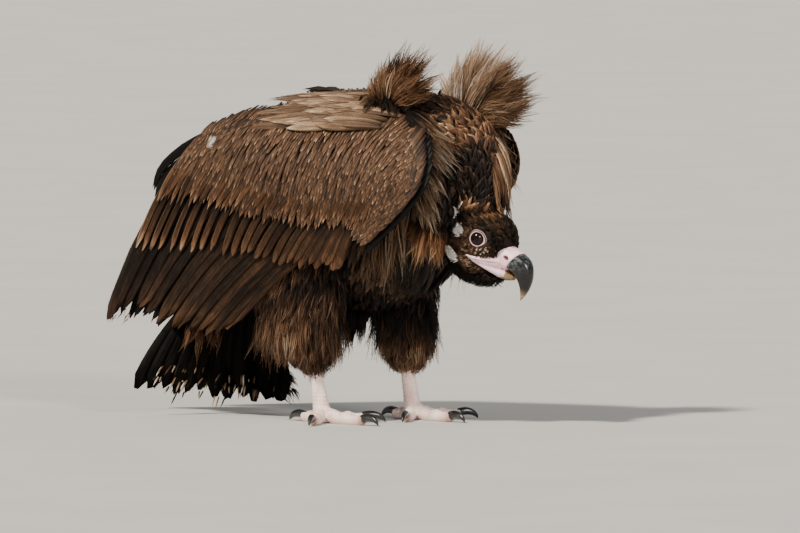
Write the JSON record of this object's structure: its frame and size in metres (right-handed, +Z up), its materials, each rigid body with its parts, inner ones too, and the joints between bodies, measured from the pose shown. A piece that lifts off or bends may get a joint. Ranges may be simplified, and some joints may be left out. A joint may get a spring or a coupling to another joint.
{
  "type": "vulture figure",
  "caption": "Life-size still model of a large vulture standing with its head hung low, wings folded and drooped, and its ruff raised in tufts.",
  "frame": {"origin": "middle of the bounding box in X and Y, at the level the toes stand on", "axes": "+X the way the bird faces, +Y towards its left wing, +Z up"},
  "size_m": [0.775, 0.3186, 0.5736],
  "materials": {
    "body_plumage": "matt brown body feathers",
    "flight_feathers": "grey-brown vanes with a slight sheen",
    "head_down": "short blackish-brown down",
    "cere_skin": "soft pinkish-lilac bare skin",
    "lower_bill": "pinkish-brown horn",
    "bill_horn": "polished blackish horn",
    "claw_horn": "satin blackish horn",
    "leg_skin": "pale pink scuted skin",
    "eye": "clear wet gloss over dark brown"
  },
  "bodies": {
    "root": {"head": "head_down", "cere": "cere_skin", "bill_upper": "bill_horn", "bill_lower": "lower_bill", "eye_right": "eye", "eye_left": "eye", "torso": "body_plumage", "neck": "body_plumage", "ruff_right": "body_plumage", "ruff_left": "body_plumage", "thigh_right": "body_plumage", "shank_right": "leg_skin", "foot_right": "leg_skin", "claw_middle_right": "claw_horn", "claw_outer_right": "claw_horn", "claw_inner_right": "claw_horn", "claw_hind_right": "claw_horn", "thigh_left": "body_plumage", "shank_left": "leg_skin", "foot_left": "leg_skin", "claw_middle_left": "claw_horn", "claw_inner_left": "claw_horn", "claw_outer_left": "claw_horn", "claw_hind_left": "claw_horn", "wing_right": "flight_feathers", "wing_left": "flight_feathers", "tail": "flight_feathers"}
  },
  "joints": []
}
